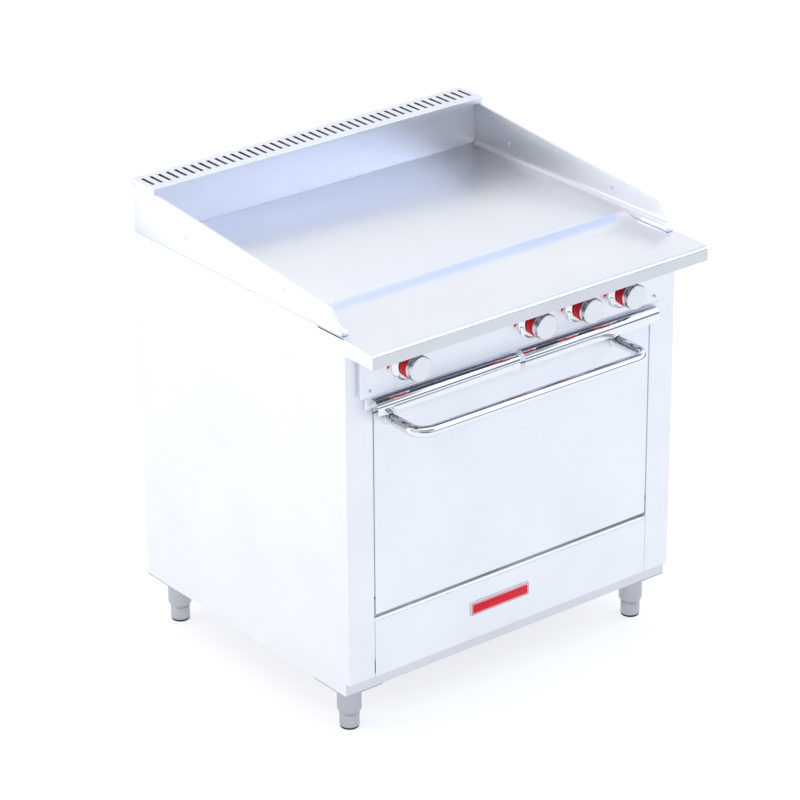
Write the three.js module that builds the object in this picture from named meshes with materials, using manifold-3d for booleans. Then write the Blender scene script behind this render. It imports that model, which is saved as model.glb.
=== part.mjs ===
// Commercial gas range: full-width griddle over a drop-door oven, on four adjustable legs.
// Millimetres, +Z up, +X to the right as seen from the front, front towards -Y.
// Origin: on the floor, under the middle of the whole range.

import * as THREE from 'three';
import { mergeVertices } from 'three/addons/utils/BufferGeometryUtils.js';
import Module from 'manifold-3d';

const wasm = await Module();
wasm.setup();

// ---------- driving dimensions ----------

const CABINET_WIDTH = 914;
const CABINET_DEPTH = 755;
const FRONT_Y = -330;
const BACK_Y = FRONT_Y + CABINET_DEPTH;
const HALF_WIDTH = CABINET_WIDTH / 2;
const SHEET = 1.5;
const GAP = 0.3;

const BASE_BOTTOM = 112.4;
const FACE_BOTTOM = 143;
const BASE_RECESS = 13;

const LEG_RADIUS = 27;
const LEG_BOTTOM = 40;
const LEG_X = 407.5;
const LEG_FRONT_SETBACK = 67;
const LEG_BACK_SETBACK = 53;
const LEG_PLATE = { width: 100, depth: 112, thickness: 3 };
const FOOT_RADIUS = 22.2;

const STILE_INNER_X = 387;
const STILE_TOP = 949;
const STILE_RETURN = 42;

const KICK_TOP = 283.5;
const DOOR_HALF_WIDTH = 383.5;
const DOOR_BOTTOM = 292;
const DOOR_TOP = 766;
const DOOR_PAN_DEPTH = 38;
const HINGE_SETBACK = 8;
const HINGE_Z = 300;
const HINGE_PIN_RADIUS = 4;

const HANDLE_LEFT_X = -346;
const HANDLE_RIGHT_X = 283;
const HANDLE_Z = 745;
const HANDLE_REACH = 108;
const HANDLE_TUBE_RADIUS = 12.7;
const HANDLE_BEND = 34;

const PANEL_HALF_WIDTH = 428;
const PANEL_BOTTOM = 811;
const PANEL_TOP = 905;
const PANEL_PROUD = 11.7;
const PANEL_FRONT_Y = FRONT_Y - PANEL_PROUD;

const KNOB_Z = 864;
const THERMOSTAT_X = -306;
const BURNER_KNOB_XS = [36, 168, 290];
const SHAFT_RADIUS = 4;

const HOOD_BOTTOM = 768.4;
const HOOD_TOP = 801.2;
const HOOD_REACH = 25;
const HOOD_BEND = 12;
const HOOD_SHEET = 1.3;
const HOOD_END_X = 391;
const HOOD_MIDDLE_GAP = 15;

const SHELF_HALF_WIDTH = 461;
const SHELF_SHEET = 2;
const SHELF_Z = 955;
const SHELF_NOSE_REACH = 97;
const SHELF_NOSE_RADIUS = 9;
const SHELF_NOSE_TOP = 950;
const SHELF_FASCIA_BOTTOM = 917.5;
const SHELF_FLAT_START = 19;
const SHELF_COVE_START = 92;

const GRIDDLE_TOP = 967;
const GRIDDLE_THICKNESS = 20;
const GRIDDLE_FRONT_SETBACK = 144.5;
const GRIDDLE_BACK_SETBACK = 681.6;

const GUARD_INNER_X = 450;
const GUARD_FOOT_X = 438;
const GUARD_COVE = GUARD_INNER_X - GUARD_FOOT_X;
const GUARD_FRONT_TOP = 1010.5;
const GUARD_BACK_TOP = 1065;

const VENT_TOP = 1080;
const VENT_LIP_BOTTOM = 1065.4;
const VENT_FRONT_SETBACK = 667.5;
const VENT_SLOTS = 42;
const VENT_SLOT_PITCH = 21.64;
const VENT_SLOT_WIDTH = 8;
const VENT_SLOT_LENGTH = 46;

const OVEN_HALF_WIDTH = 330;
const OVEN_BOTTOM = 328;
const OVEN_TOP = 700;
const OVEN_MOUTH_Y = FRONT_Y + 46;
const OVEN_BACK_Y = FRONT_Y + 606;
const OVEN_FACE_HALF_WIDTH = 384;
const RACK_Z = 494;

const PIPE_RADIUS = 13.5;
const MANIFOLD_Y = FRONT_Y + 62;
const INLET_X = 420;
const INLET_END_Y = -(FRONT_Y - HANDLE_REACH - HANDLE_TUBE_RADIUS);

// ---------- solids and profiles ----------

function toSolid(geometry) {
  const bare = geometry.clone();
  bare.deleteAttribute('normal');
  bare.deleteAttribute('uv');
  const merged = mergeVertices(bare, 1e-4);
  const mesh = new wasm.Mesh({
    numProp: 3,
    vertProperties: new Float32Array(merged.attributes.position.array),
    triVerts: new Uint32Array(merged.index.array),
  });
  return new wasm.Manifold(mesh);
}

function toGeometry(solid) {
  const mesh = solid.getMesh();
  const geometry = new THREE.BufferGeometry();
  geometry.setAttribute('position', new THREE.BufferAttribute(mesh.vertProperties, 3));
  geometry.setIndex(new THREE.BufferAttribute(mesh.triVerts, 1));
  geometry.computeVertexNormals();
  return geometry;
}

function joined(...geometries) {
  return toGeometry(geometries.map(toSolid).reduce((whole, next) => whole.add(next)));
}

function cut(geometry, ...tools) {
  return toGeometry(tools.map(toSolid).reduce((whole, tool) => whole.subtract(tool), toSolid(geometry)));
}

function common(geometryA, geometryB) {
  return toGeometry(toSolid(geometryA).intersect(toSolid(geometryB)));
}

function block(x0, x1, y0, y1, z0, z1) {
  const geometry = new THREE.BoxGeometry(x1 - x0, y1 - y0, z1 - z0);
  geometry.translate((x0 + x1) / 2, (y0 + y1) / 2, (z0 + z1) / 2);
  return geometry;
}

function rodAlongX(radius, x0, x1, y, z, sides = 24) {
  const geometry = new THREE.CylinderGeometry(radius, radius, x1 - x0, sides);
  geometry.rotateZ(Math.PI / 2);
  geometry.translate((x0 + x1) / 2, y, z);
  return geometry;
}

function rodAlongY(radius, x, y0, y1, z, sides = 24) {
  const geometry = new THREE.CylinderGeometry(radius, radius, y1 - y0, sides);
  geometry.translate(x, (y0 + y1) / 2, z);
  return geometry;
}

// Turned piece about the Z axis; points are [radius, z] pairs from the lowest to the highest.
function turnedAboutZ(points, sides = 24) {
  const profile = points.map(([radius, z]) => new THREE.Vector2(radius, z));
  const geometry = new THREE.LatheGeometry(profile, sides);
  geometry.rotateX(Math.PI / 2);
  return geometry;
}

// Turned piece about the Y axis; points are [radius, y] pairs from the lowest to the highest y.
function turnedAboutY(points, sides = 32) {
  const profile = points.map(([radius, y]) => new THREE.Vector2(radius, y));
  return new THREE.LatheGeometry(profile, sides);
}

// Straight-sided path through set stations, one cross-section at each of them.
class StationPath extends THREE.Curve {
  constructor(stations) {
    super();
    this.stations = stations;
  }

  getUtoTmapping(u) {
    return u;
  }

  getPoint(t, target = new THREE.Vector3()) {
    const place = THREE.MathUtils.clamp(t, 0, 1) * (this.stations.length - 1);
    const index = Math.min(Math.floor(place), this.stations.length - 2);
    return target.lerpVectors(this.stations[index], this.stations[index + 1], place - index);
  }
}

// Round tube through the stations; a bore radius of zero leaves it solid.
function pipeAlong(stations, radius, boreRadius, segments = 8) {
  const section = new THREE.Shape();
  section.absarc(0, 0, radius, 0, 2 * Math.PI);
  if (boreRadius > 0) {
    section.holes.push(new THREE.Path().absarc(0, 0, boreRadius, 0, 2 * Math.PI));
  }
  return new THREE.ExtrudeGeometry(section, {
    steps: stations.length - 1,
    curveSegments: segments,
    bevelEnabled: false,
    extrudePath: new StationPath(stations),
  });
}

function shapeOf(points) {
  return new THREE.Shape(points.map(([u, v]) => new THREE.Vector2(u, v)));
}

function extruded(points, length) {
  return new THREE.ExtrudeGeometry(shapeOf(points), { depth: length, bevelEnabled: false });
}

// Outline of [y, z] points, extruded along X.
function profileAlongX(points, x0, x1) {
  const geometry = extruded(points, x1 - x0);
  geometry.applyMatrix4(new THREE.Matrix4().set(0, 0, 1, x0, 1, 0, 0, 0, 0, 1, 0, 0, 0, 0, 0, 1));
  return geometry;
}

// Outline of [x, z] points, extruded along Y.
function profileAlongY(points, y0, y1) {
  const geometry = extruded(points, y1 - y0);
  geometry.applyMatrix4(new THREE.Matrix4().set(1, 0, 0, 0, 0, 0, -1, y1, 0, 1, 0, 0, 0, 0, 0, 1));
  return geometry;
}

// Outline of [x, y] points, extruded along Z.
function profileAlongZ(points, z0, z1) {
  const geometry = extruded(points, z1 - z0);
  geometry.translate(0, 0, z0);
  return geometry;
}

// Points of an arc in the outline's plane, from one angle to another in degrees.
function arc(centreU, centreV, radius, from, to, steps) {
  return Array.from({ length: steps + 1 }, (_, step) => {
    const angle = THREE.MathUtils.degToRad(from + ((to - from) * step) / steps);
    return [centreU + radius * Math.cos(angle), centreV + radius * Math.sin(angle)];
  });
}

function mirroredX(points) {
  return points.map(([x, v]) => [-x, v]).reverse();
}

// ---------- finishes ----------

const FINISHES = {
  stainless: { color: 0xe6e9f0, roughness: 0.32, metalness: 0.9 },
  griddle: { color: 0xd9dce2, roughness: 0.28, metalness: 0.9 },
  chrome: { color: 0xd6d8dc, roughness: 0.06, metalness: 1.0 },
  legSteel: { color: 0xa9adb4, roughness: 0.35, metalness: 0.9 },
  galvanised: { color: 0xb4b8bd, roughness: 0.5, metalness: 0.8 },
  enamel: { color: 0x3c4048, roughness: 0.3, metalness: 0.1 },
  castIron: { color: 0x3a3a3c, roughness: 0.8, metalness: 0.6 },
  brass: { color: 0xb08d4f, roughness: 0.35, metalness: 1.0 },
  redPlastic: { color: 0xb0101c, roughness: 0.35, metalness: 0.0 },
  blackPipe: { color: 0x45464a, roughness: 0.6, metalness: 0.7 },
  mineralWool: { color: 0xd8cf9a, roughness: 1.0, metalness: 0.0 },
};

const range = new THREE.Group();

function place(name, geometry, finish, position = [0, 0, 0]) {
  const mesh = new THREE.Mesh(geometry, new THREE.MeshStandardMaterial(FINISHES[finish]));
  mesh.name = name;
  mesh.position.set(...position);
  range.add(mesh);
}

// ---------- base, legs and feet ----------

function baseFrame() {
  const outer = block(
    -HALF_WIDTH + SHEET + GAP, HALF_WIDTH - SHEET - GAP,
    FRONT_Y + BASE_RECESS, BACK_Y - 2,
    BASE_BOTTOM, FACE_BOTTOM - GAP,
  );
  const inner = block(-415, 415, FRONT_Y + 60, BACK_Y - 45, BASE_BOTTOM - 1, FACE_BOTTOM + 1);
  return cut(outer, inner);
}

// Leg about its own vertical axis: a corner plate welded to a tube with a blind socket.
function leg(outwardX, outwardY, reachX, reachY) {
  const plateTop = BASE_BOTTOM - GAP;
  const plateBottom = plateTop - LEG_PLATE.thickness;
  const tube = turnedAboutZ([
    [0, 100], [14, 100], [14, LEG_BOTTOM], [23.5, LEG_BOTTOM], [LEG_RADIUS, LEG_BOTTOM + 6],
    [LEG_RADIUS, plateBottom + 1], [0, plateBottom + 1],
  ]);
  const farX = outwardX * reachX;
  const nearX = farX - outwardX * LEG_PLATE.width;
  const farY = outwardY * reachY;
  const nearY = farY - outwardY * LEG_PLATE.depth;
  const plate = block(
    Math.min(farX, nearX), Math.max(farX, nearX),
    Math.min(farY, nearY), Math.max(farY, nearY),
    plateBottom, plateTop,
  );
  return joined(tube, plate);
}

// Foot about its own vertical axis: a round pad on a shank that runs up into the leg's socket.
function foot() {
  return turnedAboutZ([
    [0, 0], [20.5, 0], [FOOT_RADIUS, 2], [FOOT_RADIUS, 36], [19, 39.6],
    [12.5, 39.6], [12.5, 96], [0, 96],
  ]);
}

function addBase() {
  place('base_frame', baseFrame(), 'galvanised');
  for (const [sideName, sideSign] of [['left', -1], ['right', 1]]) {
    const frontY = FRONT_Y + LEG_FRONT_SETBACK;
    const backY = BACK_Y - LEG_BACK_SETBACK;
    const reachX = HALF_WIDTH - LEG_X;
    const frontLeg = leg(sideSign, -1, reachX, LEG_FRONT_SETBACK - BASE_RECESS);
    const backLeg = leg(sideSign, 1, reachX, LEG_BACK_SETBACK);
    place(`leg_front_${sideName}`, frontLeg, 'legSteel', [sideSign * LEG_X, frontY, 0]);
    place(`leg_back_${sideName}`, backLeg, 'legSteel', [sideSign * LEG_X, backY, 0]);
    place(`foot_front_${sideName}`, foot(), 'legSteel', [sideSign * LEG_X, frontY, 0]);
    place(`foot_back_${sideName}`, foot(), 'legSteel', [sideSign * LEG_X, backY, 0]);
  }
}

// ---------- cabinet skins ----------

function sidePanel(side) {
  const shelfEndY = FRONT_Y + SHELF_COVE_START - 1.5;
  const outline = [
    [FRONT_Y + BASE_RECESS, BASE_BOTTOM],
    [BACK_Y, BASE_BOTTOM],
    [BACK_Y, SHELF_Z],
    [shelfEndY, SHELF_Z],
    [shelfEndY, SHELF_Z - SHELF_SHEET - 3],
    [FRONT_Y, SHELF_Z - SHELF_SHEET - 3],
    [FRONT_Y, FACE_BOTTOM],
    [FRONT_Y + BASE_RECESS, FACE_BOTTOM],
  ];
  const outerX = side * HALF_WIDTH;
  const innerX = side * (HALF_WIDTH - SHEET);
  return profileAlongX(outline, Math.min(outerX, innerX), Math.max(outerX, innerX));
}

function backPanel() {
  const edge = HALF_WIDTH - SHEET - GAP;
  const sheet = block(-edge, edge, BACK_Y - SHEET, BACK_Y, BASE_BOTTOM, GUARD_BACK_TOP);
  return cut(sheet, rodAlongY(PIPE_RADIUS + 2.5, INLET_X, BACK_Y - 10, BACK_Y + 10, KNOB_Z));
}

function stile(side) {
  const outline = [
    [-(HALF_WIDTH - SHEET - GAP), FRONT_Y],
    [-STILE_INNER_X, FRONT_Y],
    [-STILE_INNER_X, FRONT_Y + STILE_RETURN],
    [-STILE_INNER_X - SHEET, FRONT_Y + STILE_RETURN],
    [-STILE_INNER_X - SHEET, FRONT_Y + SHEET],
    [-(HALF_WIDTH - SHEET - GAP), FRONT_Y + SHEET],
  ];
  const sheet = profileAlongZ(side < 0 ? outline : mirroredX(outline), FACE_BOTTOM, STILE_TOP);
  const middle = side * STILE_INNER_X;
  const pinHole = rodAlongX(
    HINGE_PIN_RADIUS + 0.5, middle - 10, middle + 10, FRONT_Y + HINGE_SETBACK, HINGE_Z, 16,
  );
  return cut(sheet, pinHole);
}

function kickPanel() {
  const outline = [
    [FRONT_Y, FACE_BOTTOM],
    [FRONT_Y + SHEET, FACE_BOTTOM],
    [FRONT_Y + SHEET, KICK_TOP - SHEET],
    [FRONT_Y + 25, KICK_TOP - SHEET],
    [FRONT_Y + 25, KICK_TOP],
    [FRONT_Y, KICK_TOP],
  ];
  const halfWidth = STILE_INNER_X - 0.5;
  return profileAlongX(outline, -halfWidth, halfWidth);
}

// Flat sheet across the front between the stiles, behind the control panel.
function frontHeader() {
  const edge = STILE_INNER_X - GAP;
  const sheet = block(-edge, edge, FRONT_Y, FRONT_Y + SHEET, DOOR_TOP + 2.6, STILE_TOP);
  const holes = [THERMOSTAT_X, ...BURNER_KNOB_XS].map((x) => {
    return rodAlongY(SHAFT_RADIUS + 2, x, FRONT_Y - 5, FRONT_Y + 5, KNOB_Z, 16);
  });
  return cut(sheet, ...holes);
}

function nameplate() {
  const [left, right, bottom, top, radius] = [-124, 44, 199, 233, 4];
  const outline = [
    ...arc(right - radius, top - radius, radius, 0, 90, 3),
    ...arc(left + radius, top - radius, radius, 90, 180, 3),
    ...arc(left + radius, bottom + radius, radius, 180, 270, 3),
    ...arc(right - radius, bottom + radius, radius, 270, 360, 3),
  ];
  return profileAlongY(outline, FRONT_Y - 2.6, FRONT_Y - GAP);
}

function addCabinet() {
  for (const [sideName, side] of [['left', -1], ['right', 1]]) {
    place(`side_panel_${sideName}`, sidePanel(side), 'stainless');
    place(`stile_${sideName}`, stile(side), 'stainless');
  }
  place('back_panel', backPanel(), 'galvanised');
  place('front_header', frontHeader(), 'stainless');
  place('kick_panel', kickPanel(), 'stainless');
  place('nameplate', nameplate(), 'redPlastic');
}

// ---------- top: shelf, griddle, guards, splash back and flue ----------

// Bent sheet: fascia, rounded nose, gentle rise to a flat, then a cove up to the griddle's edge.
function shelfOutline(inset) {
  const noseY = FRONT_Y - SHELF_NOSE_REACH;
  const noseCentreY = noseY + SHELF_NOSE_RADIUS;
  const noseCentreZ = SHELF_NOSE_TOP - SHELF_NOSE_RADIUS;
  const coveRun = GRIDDLE_FRONT_SETBACK - GAP - SHELF_SHEET / 2 - SHELF_COVE_START;
  const coveRise = GRIDDLE_TOP - GAP - SHELF_Z;
  const coveRadius = (coveRun * coveRun + coveRise * coveRise) / (2 * coveRise);
  const coveAngle = THREE.MathUtils.radToDeg(Math.asin(coveRun / coveRadius));
  return [
    [noseY + inset, SHELF_FASCIA_BOTTOM],
    ...arc(noseCentreY, noseCentreZ, SHELF_NOSE_RADIUS - inset, 180, 93, 6),
    [FRONT_Y + SHELF_FLAT_START, SHELF_Z - inset],
    ...arc(FRONT_Y + SHELF_COVE_START, SHELF_Z + coveRadius, coveRadius + inset, -90, -90 + coveAngle, 6),
  ];
}

// Everything outside a distance from the middle and behind a front edge, at the shelf's height.
function sideTrim(side, fromX, frontY) {
  const innerX = side * fromX;
  const outerX = side * (SHELF_HALF_WIDTH + 5);
  return block(
    Math.min(innerX, outerX), Math.max(innerX, outerX),
    frontY, FRONT_Y + 200, SHELF_Z - 30, SHELF_Z + 30,
  );
}

function landingShelf() {
  const outline = [...shelfOutline(0).reverse(), ...shelfOutline(SHELF_SHEET)];
  const sheet = profileAlongX(outline, -SHELF_HALF_WIDTH, SHELF_HALF_WIDTH);
  const trims = [-1, 1].flatMap((side) => [
    sideTrim(side, HALF_WIDTH, FRONT_Y - 2),
    sideTrim(side, GUARD_FOOT_X - GAP, FRONT_Y + SHELF_COVE_START - 2),
  ]);
  const [, ...noseArc] = shelfOutline(SHELF_SHEET / 2).slice(0, 8);
  const capBottom = SHELF_FASCIA_BOTTOM + 0.5;
  const capOutline = [
    [FRONT_Y - 3, capBottom],
    [FRONT_Y - 3, SHELF_Z - SHELF_SHEET],
    ...noseArc.reverse(),
    [FRONT_Y - SHELF_NOSE_REACH + SHELF_SHEET / 2, capBottom],
  ];
  const capX = SHELF_HALF_WIDTH - 0.4;
  const leftCap = profileAlongX(capOutline, -capX, -capX + SHELF_SHEET);
  const rightCap = profileAlongX(capOutline, capX - SHELF_SHEET, capX);
  return joined(cut(sheet, ...trims), leftCap, rightCap);
}

function griddlePlate() {
  const edge = GUARD_FOOT_X - GAP;
  return block(
    -edge, edge,
    FRONT_Y + GRIDDLE_FRONT_SETBACK, FRONT_Y + GRIDDLE_BACK_SETBACK,
    GRIDDLE_TOP - GRIDDLE_THICKNESS, GRIDDLE_TOP,
  );
}

// Guard section: a stiff outer wall with a coved foot, cut to its side outline.
function sideGuard(side) {
  const section = [
    [GUARD_FOOT_X, SHELF_Z + GAP],
    [HALF_WIDTH, SHELF_Z + GAP],
    [HALF_WIDTH, GUARD_BACK_TOP + 20],
    [GUARD_INNER_X, GUARD_BACK_TOP + 20],
    ...arc(GUARD_FOOT_X, GRIDDLE_TOP + GUARD_COVE, GUARD_COVE, 0, -90, 5),
  ];
  const backY = BACK_Y - 2;
  const wall = profileAlongY(side > 0 ? section : mirroredX(section), FRONT_Y, backY);
  const cornerY = FRONT_Y + 56;
  const sideOutline = [
    [FRONT_Y + 10, SHELF_Z],
    [backY, SHELF_Z],
    [backY, GUARD_BACK_TOP],
    [FRONT_Y + VENT_FRONT_SETBACK, GUARD_BACK_TOP],
    ...guardCorner(cornerY),
  ];
  return common(wall, profileAlongX(sideOutline, -HALF_WIDTH - 5, HALF_WIDTH + 5));
}

// Rounded corner between the guard's long top edge and its steep front edge.
function guardCorner(cornerY) {
  const rise = (GUARD_BACK_TOP - GUARD_FRONT_TOP) / (FRONT_Y + VENT_FRONT_SETBACK - cornerY);
  const topPoint = new THREE.Vector2(cornerY + 22, GUARD_FRONT_TOP + 22 * rise);
  const corner = new THREE.Vector2(cornerY, GUARD_FRONT_TOP);
  const frontPoint = new THREE.Vector2(cornerY - 15, GUARD_FRONT_TOP - 18);
  return new THREE.QuadraticBezierCurve(topPoint, corner, frontPoint).getPoints(8).map((p) => [p.x, p.y]);
}

function splashBack() {
  const edge = GUARD_INNER_X - GAP;
  const cove = GUARD_COVE + GAP;
  const rightEdge = [
    [GUARD_FOOT_X - GAP, GRIDDLE_TOP - 12],
    ...arc(GUARD_FOOT_X - GAP, GRIDDLE_TOP + GUARD_COVE + 2 * GAP, cove - GAP, -90, 0, 5),
    [edge, VENT_LIP_BOTTOM - 1],
  ];
  const outline = [...rightEdge, ...mirroredX(rightEdge)];
  const y0 = FRONT_Y + GRIDDLE_BACK_SETBACK + GAP;
  return profileAlongY(outline, y0, y0 + SHELF_SHEET);
}

function ventCover() {
  const [y0, y1] = [FRONT_Y + VENT_FRONT_SETBACK, BACK_Y];
  const shell = block(-SHELF_HALF_WIDTH, SHELF_HALF_WIDTH, y0, y1, VENT_LIP_BOTTOM, VENT_TOP);
  const hollow = block(
    -SHELF_HALF_WIDTH + 2, SHELF_HALF_WIDTH - 2, y0 + 2, y1 - 2, VENT_LIP_BOTTOM - 5, VENT_TOP - 2,
  );
  const slotY = y0 + 23;
  const slots = Array.from({ length: VENT_SLOTS }, (_, index) => {
    const x = (index - (VENT_SLOTS - 1) / 2) * VENT_SLOT_PITCH;
    const half = VENT_SLOT_WIDTH / 2;
    return block(x - half, x + half, slotY, slotY + VENT_SLOT_LENGTH, VENT_TOP - 5, VENT_TOP + 5);
  });
  return cut(shell, hollow, ...slots);
}

function flueBox() {
  const [y0, y1] = [FRONT_Y + 688, FRONT_Y + 750];
  const duct = block(-436, 436, y0, y1, GRIDDLE_TOP - 7, VENT_LIP_BOTTOM - 1.6);
  const bore = block(
    -436 + SHEET, 436 - SHEET, y0 + SHEET, y1 - SHEET, GRIDDLE_TOP - 20, VENT_TOP,
  );
  return cut(duct, bore);
}

function addTop() {
  place('landing_shelf', landingShelf(), 'stainless');
  place('griddle_plate', griddlePlate(), 'griddle');
  place('side_guard_left', sideGuard(-1), 'stainless');
  place('side_guard_right', sideGuard(1), 'stainless');
  place('splash_back', splashBack(), 'stainless');
  place('vent_cover', ventCover(), 'stainless');
  place('flue_box', flueBox(), 'galvanised');
}

// ---------- control panel, knobs and heat deflector ----------

function controlPanel() {
  const shell = block(
    -PANEL_HALF_WIDTH, PANEL_HALF_WIDTH, PANEL_FRONT_Y, FRONT_Y - GAP, PANEL_BOTTOM, PANEL_TOP,
  );
  const hollow = block(
    -PANEL_HALF_WIDTH + SHEET, PANEL_HALF_WIDTH - SHEET,
    PANEL_FRONT_Y + SHEET, FRONT_Y + 5, PANEL_BOTTOM + SHEET, PANEL_TOP - SHEET,
  );
  const slopedBottom = profileAlongX(
    [
      [PANEL_FRONT_Y + 1, PANEL_BOTTOM - 1],
      [FRONT_Y + 1, PANEL_BOTTOM - 1],
      [FRONT_Y + 1, PANEL_BOTTOM + 12],
    ],
    -PANEL_HALF_WIDTH - 5, PANEL_HALF_WIDTH + 5,
  );
  const holes = [THERMOSTAT_X, ...BURNER_KNOB_XS].map((x) => {
    return rodAlongY(SHAFT_RADIUS + 3, x, PANEL_FRONT_Y - 5, PANEL_FRONT_Y + 5, KNOB_Z, 20);
  });
  return cut(shell, hollow, slopedBottom, ...holes);
}

// Bezel about the knob's axis, standing on the panel's front, which is local y = 0.
function bezel() {
  return turnedAboutY([
    [9, -11.5], [31.5, -11.5], [38, -5], [41, -3], [41, -GAP], [9, -GAP], [9, -11.5],
  ], 28);
}

// Knob about its axis: shaft, red grip and steel cap in one turning piece.
function knob() {
  return turnedAboutY([
    [0, -49.8], [26.5, -49.8], [28.5, -47.5], [28.5, -37.5], [26, -36], [29, -34.5],
    [29, -14], [27, -12], [SHAFT_RADIUS, -12], [SHAFT_RADIUS, 22], [0, 22],
  ], 28);
}

function burnerValve() {
  return turnedAboutY([
    [0, 26], [SHAFT_RADIUS + 0.5, 26], [SHAFT_RADIUS + 0.5, 14], [12, 14], [12, 30],
    [17, 33], [17, 52], [11, 54], [11, 59.6], [0, 59.6],
  ], 16);
}

function thermostat() {
  const body = block(-35, 35, 14, 46, -28, 28);
  const neck = rodAlongY(9, 0, 45, 59.6, 0, 20);
  const socket = rodAlongY(SHAFT_RADIUS + 0.5, 0, 10, 26, 0, 20);
  return cut(joined(body, neck), socket);
}

function hoodOutline() {
  const back = FRONT_Y - 2 - GAP;
  const centreY = FRONT_Y - HOOD_REACH + HOOD_BEND;
  const centreZ = HOOD_TOP - HOOD_BEND;
  return [
    [back, HOOD_TOP - 15],
    [back, HOOD_TOP],
    ...arc(centreY, centreZ, HOOD_BEND, 90, 180, 7),
    [FRONT_Y - HOOD_REACH, HOOD_BOTTOM],
    [FRONT_Y - HOOD_REACH + HOOD_SHEET, HOOD_BOTTOM],
    ...arc(centreY, centreZ, HOOD_BEND - HOOD_SHEET, 180, 90, 7),
    [back - HOOD_SHEET, HOOD_TOP - HOOD_SHEET],
    [back - HOOD_SHEET, HOOD_TOP - 15],
  ];
}

function addControls() {
  place('control_panel', controlPanel(), 'stainless');
  const knobs = [
    ['oven', THERMOSTAT_X],
    ['griddle_left', BURNER_KNOB_XS[0]],
    ['griddle_middle', BURNER_KNOB_XS[1]],
    ['griddle_right', BURNER_KNOB_XS[2]],
  ];
  for (const [knobName, x] of knobs) {
    const position = [x, PANEL_FRONT_Y, KNOB_Z];
    place(`bezel_${knobName}`, bezel(), 'chrome', position);
    place(`knob_${knobName}`, knob(), 'redPlastic', position);
    if (knobName === 'oven') {
      place('oven_thermostat', thermostat(), 'brass', position);
    } else {
      place(`valve_${knobName}`, burnerValve(), 'brass', position);
    }
  }
  place('deflector_rail', block(-410, 410, FRONT_Y - 2, FRONT_Y - GAP, 780, 806), 'chrome');
  const halfGap = HOOD_MIDDLE_GAP / 2;
  const outline = hoodOutline();
  place('heat_deflector_left', profileAlongX(outline, -HOOD_END_X, -halfGap), 'chrome');
  place('heat_deflector_right', profileAlongX(outline, halfGap, HOOD_END_X), 'chrome');
}

// ---------- oven door ----------

function doorPanel() {
  const shell = block(
    -DOOR_HALF_WIDTH, DOOR_HALF_WIDTH, FRONT_Y, FRONT_Y + DOOR_PAN_DEPTH, DOOR_BOTTOM, DOOR_TOP,
  );
  const hollow = block(
    -DOOR_HALF_WIDTH + SHEET, DOOR_HALF_WIDTH - SHEET,
    FRONT_Y + SHEET, FRONT_Y + DOOR_PAN_DEPTH + 5, DOOR_BOTTOM + SHEET, DOOR_TOP - SHEET,
  );
  return cut(shell, hollow);
}

function doorInsulation() {
  const edge = DOOR_HALF_WIDTH - SHEET - 0.5;
  return block(
    -edge, edge, FRONT_Y + SHEET + 0.5, FRONT_Y + DOOR_PAN_DEPTH - 0.5,
    DOOR_BOTTOM + SHEET + 0.5, DOOR_TOP - SHEET - 0.5,
  );
}

function doorLiner() {
  const y0 = FRONT_Y + DOOR_PAN_DEPTH + GAP;
  const edge = DOOR_HALF_WIDTH - 2;
  return block(-edge, edge, y0, y0 + SHEET, DOOR_BOTTOM + 2, DOOR_TOP - 2);
}

// Handle: a hollow tube out from the door, round a bend, along, round a bend and back.
function doorHandle() {
  const barY = FRONT_Y - HANDLE_REACH;
  const bendY = barY + HANDLE_BEND;
  const stations = [
    [HANDLE_LEFT_X, FRONT_Y - GAP],
    ...arc(HANDLE_LEFT_X + HANDLE_BEND, bendY, HANDLE_BEND, 180, 270, 7),
    ...arc(HANDLE_RIGHT_X - HANDLE_BEND, bendY, HANDLE_BEND, 270, 360, 7),
    [HANDLE_RIGHT_X, FRONT_Y - GAP],
  ].map(([x, y]) => new THREE.Vector3(x, y, HANDLE_Z));
  return pipeAlong(stations, HANDLE_TUBE_RADIUS, HANDLE_TUBE_RADIUS - SHEET);
}

// Bracket on the door's end face, with a pin that turns in the stile's hole.
function hingeBracket(side) {
  const nearX = side * (DOOR_HALF_WIDTH + GAP);
  const farX = side * (DOOR_HALF_WIDTH + 2.4);
  const pinEndX = side * (STILE_INNER_X + 13);
  const axisY = FRONT_Y + HINGE_SETBACK;
  const plate = block(
    Math.min(nearX, farX), Math.max(nearX, farX), FRONT_Y + 2, FRONT_Y + 34, DOOR_BOTTOM + 1.5, 330,
  );
  const pin = rodAlongX(
    HINGE_PIN_RADIUS, Math.min(farX - side, pinEndX), Math.max(farX - side, pinEndX), axisY, HINGE_Z, 16,
  );
  return joined(plate, pin);
}

function addDoor() {
  place('door_panel', doorPanel(), 'stainless');
  place('door_insulation', doorInsulation(), 'mineralWool');
  place('door_liner', doorLiner(), 'enamel');
  place('door_handle', doorHandle(), 'chrome');
  place('hinge_bracket_left', hingeBracket(-1), 'legSteel');
  place('hinge_bracket_right', hingeBracket(1), 'legSteel');
}

// ---------- oven ----------

function ovenSide(side) {
  const outline = [
    [-OVEN_FACE_HALF_WIDTH, OVEN_MOUTH_Y - SHEET],
    [-OVEN_HALF_WIDTH, OVEN_MOUTH_Y - SHEET],
    [-OVEN_HALF_WIDTH, OVEN_BACK_Y],
    [-OVEN_HALF_WIDTH - SHEET, OVEN_BACK_Y],
    [-OVEN_HALF_WIDTH - SHEET, OVEN_MOUTH_Y],
    [-OVEN_FACE_HALF_WIDTH, OVEN_MOUTH_Y],
  ];
  return profileAlongZ(side < 0 ? outline : mirroredX(outline), OVEN_BOTTOM, OVEN_TOP);
}

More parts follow.
